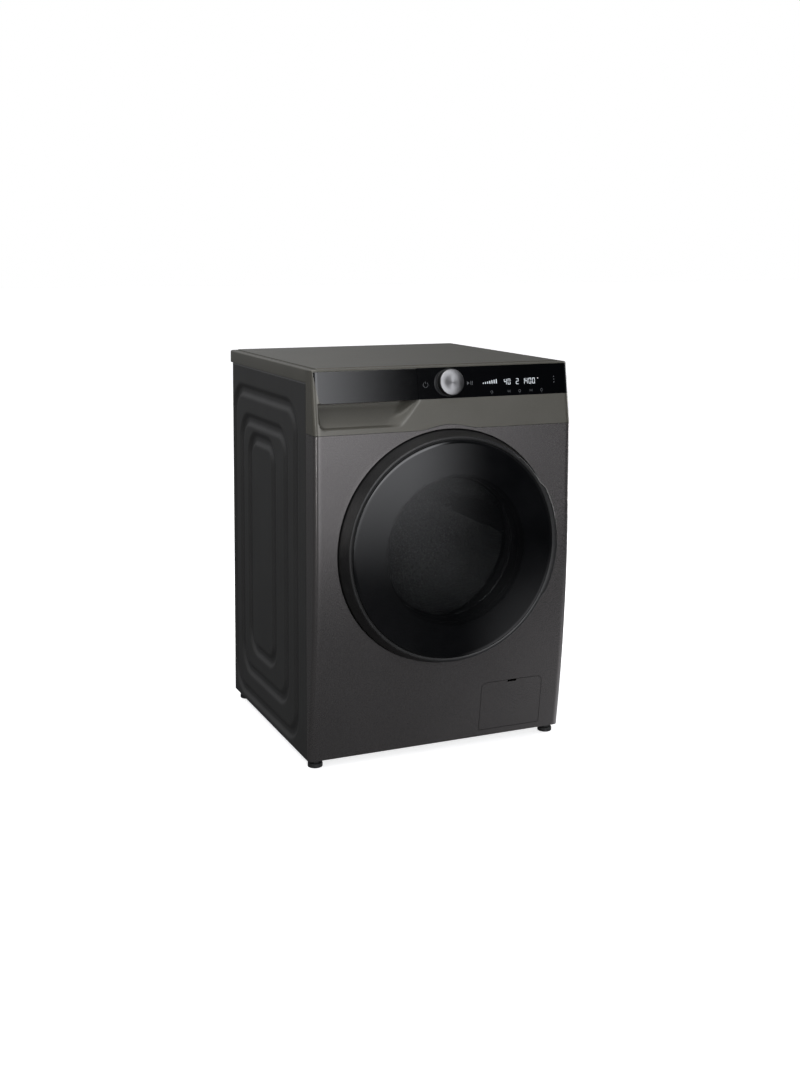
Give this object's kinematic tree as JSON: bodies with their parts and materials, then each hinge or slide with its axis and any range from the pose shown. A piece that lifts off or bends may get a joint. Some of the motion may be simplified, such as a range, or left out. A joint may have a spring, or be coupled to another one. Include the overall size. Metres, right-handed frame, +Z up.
{
  "type": "front-loading washer-dryer",
  "caption": "Free-standing front-loading washer-dryer with round tinted door, slanted touch console with dial, dispenser drawer and ribbed side panels.",
  "frame": {"origin": "on the floor, midway between the sides and midway between the front of the door and the rear edge of the worktop", "axes": "+Z up, -Y out of the front, +X to the right of someone facing the front"},
  "size_m": [0.6, 0.645, 0.85],
  "materials": {
    "graphite_panel": "satin",
    "olive_plastic": "satin",
    "side_steel": "satin",
    "zinc_steel": "satin",
    "black_glass": "gloss",
    "smoked_cover": "gloss",
    "black_plastic": "gloss",
    "matte_black": "matte",
    "grey_plastic": "matte",
    "white_plastic": "matte",
    "rubber_grey": "matte",
    "rubber_black": "matte",
    "stainless": "brushed",
    "aluminium_cast": "cast",
    "aluminium_dial": "spun",
    "clear_glass": "gloss",
    "concrete": "rough",
    "circuit_board": "matte",
    "brass": "satin"
  },
  "bodies": {
    "cabinet": {"base_tray": "zinc_steel", "side_panel_left": "side_steel", "side_panel_right": "side_steel", "rear_panel": "zinc_steel", "rear_service_cover": "zinc_steel", "cross_braces": "zinc_steel", "front_panel": "graphite_panel", "console_fascia": "olive_plastic", "console_glass": "black_glass", "display_board": "circuit_board", "worktop": "olive_plastic", "cabinet_screws": "zinc_steel", "transit_plugs": "matte_black", "power_gland": "matte_black", "main_board_box": "white_plastic", "inlet_valve": "white_plastic", "drawer_housing": "grey_plastic", "dispenser_hose": "rubber_black", "door_hinge_bracket": "zinc_steel", "door_lock": "matte_black", "door_gasket": "rubber_grey", "pump_body": "grey_plastic", "sump_hose": "rubber_black", "drain_hose": "grey_plastic", "drain_spigot": "matte_black", "foot_lock_nuts": "zinc_steel", "damper_cylinders": "matte_black", "suspension_springs": "zinc_steel"},
    "tub": {"tub_front_shell": "grey_plastic", "tub_rear_shell": "grey_plastic", "counterweights": "concrete", "drum_bearings": "stainless", "motor_housing": "aluminium_cast", "drive_belt": "rubber_black", "wash_heater": "stainless", "damper_rods": "zinc_steel", "dryer_duct": "zinc_steel", "dryer_heater": "stainless"},
    "drum": {"drum": "stainless", "drum_lifters": "grey_plastic", "drum_spider": "aluminium_cast", "drum_pulley": "aluminium_cast"},
    "motor": {"motor_rotor": "zinc_steel"},
    "fan": {"dryer_fan": "matte_black"},
    "drain_pump": {"pump_impeller": "matte_black"},
    "door": {"door_ring": "black_plastic", "door_cover": "smoked_cover", "door_inner_ring": "matte_black", "door_bowl": "clear_glass", "door_hinge_leaf": "zinc_steel"},
    "door_catch": {"door_hook": "zinc_steel"},
    "drawer": {"drawer_tray": "grey_plastic", "drawer_front": "black_glass"},
    "dial": {"dial_knob": "aluminium_dial"},
    "flap": {"filter_flap": "graphite_panel"},
    "filter": {"pump_filter": "grey_plastic"},
    "front_left_foot": {"foot_front_left": "matte_black"},
    "front_right_foot": {"foot_front_right": "matte_black"},
    "rear_left_foot": {"foot_rear_left": "matte_black"},
    "rear_right_foot": {"foot_rear_right": "matte_black"}
  },
  "joints": [
    {"name": "tub_float", "type": "slide", "parent": "cabinet", "child": "tub", "axis": [0, 0, 1], "range_m": [-0.01, 0.008], "stiffness_N_per_m": 24000, "springref_m": 0.02, "deforming": ["suspension_springs", "door_gasket", "dispenser_hose", "sump_hose"]},
    {"name": "drum_turn", "type": "hinge", "parent": "tub", "child": "drum", "pos_m": [0.003, 0.2065, 0.462], "axis": [0, 1, 0], "continuous": true},
    {"name": "motor_turn", "type": "hinge", "parent": "tub", "child": "motor", "pos_m": [0.103, 0.2065, 0.135], "axis": [0, 1, 0], "continuous": true},
    {"name": "fan_turn", "type": "hinge", "parent": "tub", "child": "fan", "pos_m": [0.124, 0.082, 0.76], "axis": [0, 0, 1], "continuous": true},
    {"name": "pump_turn", "type": "hinge", "parent": "cabinet", "child": "drain_pump", "pos_m": [0.171, -0.12, 0.084], "axis": [0, 1, 0], "continuous": true},
    {"name": "door_hinge", "type": "hinge", "parent": "cabinet", "child": "door", "pos_m": [-0.224, -0.2915, 0.462], "axis": [0, 0, -1], "range_deg": [0, 115]},
    {"name": "catch_pivot", "type": "hinge", "parent": "door", "child": "door_catch", "pos_m": [0.215, -0.2745, 0.462], "axis": [0, 0, 1], "range_deg": [0, 8], "stiffness_Nm_per_rad": 0.05},
    {"name": "drawer_slide", "type": "slide", "parent": "cabinet", "child": "drawer", "axis": [0, -1, 0], "range_m": [0, 0.235]},
    {"name": "dial_turn", "type": "hinge", "parent": "cabinet", "child": "dial", "pos_m": [0.008, -0.26309, 0.812], "axis": [0, -0.9894, 0.1455], "continuous": true},
    {"name": "flap_hinge", "type": "hinge", "parent": "cabinet", "child": "flap", "pos_m": [0.1715, -0.23499, 0.038], "axis": [1, 0, 0], "range_deg": [0, 68]},
    {"name": "filter_turn", "type": "hinge", "parent": "cabinet", "child": "filter", "pos_m": [0.171, -0.21, 0.084], "axis": [0, 1, 0], "range_deg": [0, 120]},
    {"name": "front_left_foot_turn", "type": "hinge", "parent": "cabinet", "child": "front_left_foot", "pos_m": [-0.278, -0.215, 0.01], "axis": [0, 0, 1], "continuous": true},
    {"name": "front_right_foot_turn", "type": "hinge", "parent": "cabinet", "child": "front_right_foot", "pos_m": [0.278, -0.215, 0.01], "axis": [0, 0, 1], "continuous": true},
    {"name": "rear_left_foot_turn", "type": "hinge", "parent": "cabinet", "child": "rear_left_foot", "pos_m": [-0.278, 0.2705, 0.01], "axis": [0, 0, 1], "continuous": true},
    {"name": "rear_right_foot_turn", "type": "hinge", "parent": "cabinet", "child": "rear_right_foot", "pos_m": [0.278, 0.2705, 0.01], "axis": [0, 0, 1], "continuous": true}
  ],
  "couplings": [
    {"joint": "motor_turn", "follows": "drum_turn", "ratio": 10}
  ]
}
